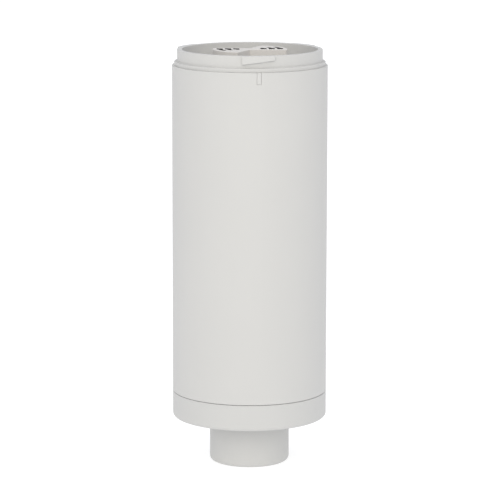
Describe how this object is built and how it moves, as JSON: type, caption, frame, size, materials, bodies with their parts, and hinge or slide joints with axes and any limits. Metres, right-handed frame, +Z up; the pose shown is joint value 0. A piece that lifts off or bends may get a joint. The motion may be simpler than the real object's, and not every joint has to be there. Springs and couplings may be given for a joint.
{
  "type": "signal tower base module",
  "caption": "Round base unit of a modular signal tower: slides onto a pole, carries light elements on a bayonet collar with contact block, holds supply, relays and wire terminals.",
  "frame": {"origin": "centre of the lower end face of the pole socket, on the unit's axis", "axes": "+Z up along the unit's axis towards the bayonet collar; -Y towards the alignment key; the pole clamp screw is on +Y"},
  "size_m": [0.07, 0.07, 0.189],
  "materials": {
    "housing_plastic": "fine matt moulded, light warm grey",
    "foot_plastic": "fine matt moulded, light warm grey",
    "insulator_plastic": "matt moulded, pale grey-beige",
    "black_plastic": "matt moulded",
    "black_rubber": "matt",
    "steel": "zinc plated",
    "spring_brass": "bare spring bronze",
    "brass": "turned",
    "copper": "enamelled winding",
    "circuit_board": "green solder mask",
    "ferrite": "dark sintered",
    "coil_tape": "yellow insulating tape",
    "capacitor_sleeve": "dark shrink sleeve",
    "film_plastic": "yellow box",
    "varistor_coat": "blue epoxy",
    "anodised": "black anodised",
    "relay_plastic": "orange cover",
    "terminal_grey": "dark grey moulded",
    "terminal_green": "green moulded",
    "button_orange": "orange moulded"
  },
  "bodies": {
    "foot": {"tube_foot": "foot_plastic", "thread_insert": "brass", "cable_grommet": "black_rubber"},
    "housing": {"housing_tube": "housing_plastic", "socket_gasket": "black_rubber", "bayonet_collar": "housing_plastic", "contact_carrier": "insulator_plastic", "carrier_screws": "steel", "contact_block": "insulator_plastic", "contact_block_screws": "steel", "chassis_frame": "black_plastic", "chassis_screws": "steel", "contact_board": "circuit_board", "contact_board_screws": "steel", "main_board": "circuit_board", "terminal_board": "circuit_board", "terminal_board_screws": "steel", "upper_header": "black_plastic", "lower_header": "black_plastic", "transformer_core": "ferrite", "transformer_coil": "coil_tape", "bulk_capacitor": "capacitor_sleeve", "output_capacitors": "capacitor_sleeve", "filter_choke": "copper", "film_capacitor": "film_plastic", "fuse_link": "steel", "fuse_clips": "steel", "varistor": "varistor_coat", "heat_sink": "anodised", "power_transistor": "black_plastic", "transistor_screw": "steel", "channel_relays": "relay_plastic", "optocouplers": "black_plastic", "signal_terminal": "terminal_grey", "signal_clamps": "steel", "mains_terminal": "terminal_green", "mains_clamps": "steel", "cable_saddle": "insulator_plastic", "saddle_screws": "steel"},
    "clamp_pad": {"clamp_pad": "insulator_plastic"},
    "clamp_screw": {"clamp_screw": "steel"},
    "contact_spring_1": {"contact_spring_1": "spring_brass"},
    "contact_spring_2": {"contact_spring_2": "spring_brass"},
    "contact_spring_3": {"contact_spring_3": "spring_brass"},
    "contact_spring_4": {"contact_spring_4": "spring_brass"},
    "contact_spring_5": {"contact_spring_5": "spring_brass"},
    "contact_spring_6": {"contact_spring_6": "spring_brass"},
    "signal_button_1": {"signal_button_1": "button_orange"},
    "signal_button_2": {"signal_button_2": "button_orange"},
    "signal_button_3": {"signal_button_3": "button_orange"},
    "signal_button_4": {"signal_button_4": "button_orange"},
    "signal_button_5": {"signal_button_5": "button_orange"},
    "signal_button_6": {"signal_button_6": "button_orange"},
    "mains_button_1": {"mains_button_1": "button_orange"},
    "mains_button_2": {"mains_button_2": "button_orange"},
    "mains_button_3": {"mains_button_3": "button_orange"}
  },
  "joints": [
    {"name": "housing_twist", "type": "hinge", "parent": "foot", "child": "housing", "pos_m": [0, 0, 0.03285], "axis": [0, 0, 1], "range_deg": [0, 26]},
    {"name": "clamp_advance", "type": "slide", "parent": "foot", "child": "clamp_pad", "axis": [0, -1, 0], "range_m": [0, 0.0025]},
    {"name": "clamp_turn", "type": "hinge", "parent": "clamp_pad", "child": "clamp_screw", "pos_m": [0, 0.0155, 0.0105], "axis": [0, -1, 0], "range_deg": [0, 1126]},
    {"name": "spring_1_flex", "type": "hinge", "parent": "housing", "child": "contact_spring_1", "pos_m": [0.00687, -0.00036, 0.1708], "axis": [0.0523, 0.9986, 0], "range_deg": [0, 1.2], "stiffness_Nm_per_rad": 1.2},
    {"name": "spring_2_flex", "type": "hinge", "parent": "housing", "child": "contact_spring_2", "pos_m": [0.01056, -0.00055, 0.1708], "axis": [0.0523, 0.9986, 0], "range_deg": [0, 1.2], "stiffness_Nm_per_rad": 1.2},
    {"name": "spring_3_flex", "type": "hinge", "parent": "housing", "child": "contact_spring_3", "pos_m": [0.01426, -0.00075, 0.1708], "axis": [0.0523, 0.9986, 0], "range_deg": [0, 1.2], "stiffness_Nm_per_rad": 1.2},
    {"name": "spring_4_flex", "type": "hinge", "parent": "housing", "child": "contact_spring_4", "pos_m": [-0.00687, 0.00036, 0.1708], "axis": [-0.0523, -0.9986, 0], "range_deg": [0, 1.2], "stiffness_Nm_per_rad": 1.2},
    {"name": "spring_5_flex", "type": "hinge", "parent": "housing", "child": "contact_spring_5", "pos_m": [-0.01056, 0.00055, 0.1708], "axis": [-0.0523, -0.9986, 0], "range_deg": [0, 1.2], "stiffness_Nm_per_rad": 1.2},
    {"name": "spring_6_flex", "type": "hinge", "parent": "housing", "child": "contact_spring_6", "pos_m": [-0.01426, 0.00075, 0.1708], "axis": [-0.0523, -0.9986, 0], "range_deg": [0, 1.2], "stiffness_Nm_per_rad": 1.2},
    {"name": "signal_button_1_press", "type": "slide", "parent": "housing", "child": "signal_button_1", "axis": [0, 0, 1], "range_m": [0, 0.0013], "stiffness_N_per_m": 2000},
    {"name": "signal_button_2_press", "type": "slide", "parent": "housing", "child": "signal_button_2", "axis": [0, 0, 1], "range_m": [0, 0.0013], "stiffness_N_per_m": 2000},
    {"name": "signal_button_3_press", "type": "slide", "parent": "housing", "child": "signal_button_3", "axis": [0, 0, 1], "range_m": [0, 0.0013], "stiffness_N_per_m": 2000},
    {"name": "signal_button_4_press", "type": "slide", "parent": "housing", "child": "signal_button_4", "axis": [0, 0, 1], "range_m": [0, 0.0013], "stiffness_N_per_m": 2000},
    {"name": "signal_button_5_press", "type": "slide", "parent": "housing", "child": "signal_button_5", "axis": [0, 0, 1], "range_m": [0, 0.0013], "stiffness_N_per_m": 2000},
    {"name": "signal_button_6_press", "type": "slide", "parent": "housing", "child": "signal_button_6", "axis": [0, 0, 1], "range_m": [0, 0.0013], "stiffness_N_per_m": 2000},
    {"name": "mains_button_1_press", "type": "slide", "parent": "housing", "child": "mains_button_1", "axis": [0, 0, 1], "range_m": [0, 0.0013], "stiffness_N_per_m": 3000},
    {"name": "mains_button_2_press", "type": "slide", "parent": "housing", "child": "mains_button_2", "axis": [0, 0, 1], "range_m": [0, 0.0013], "stiffness_N_per_m": 3000},
    {"name": "mains_button_3_press", "type": "slide", "parent": "housing", "child": "mains_button_3", "axis": [0, 0, 1], "range_m": [0, 0.0013], "stiffness_N_per_m": 3000}
  ],
  "couplings": [
    {"joint": "clamp_turn", "follows": "clamp_advance", "rad_per_m": 7854}
  ]
}
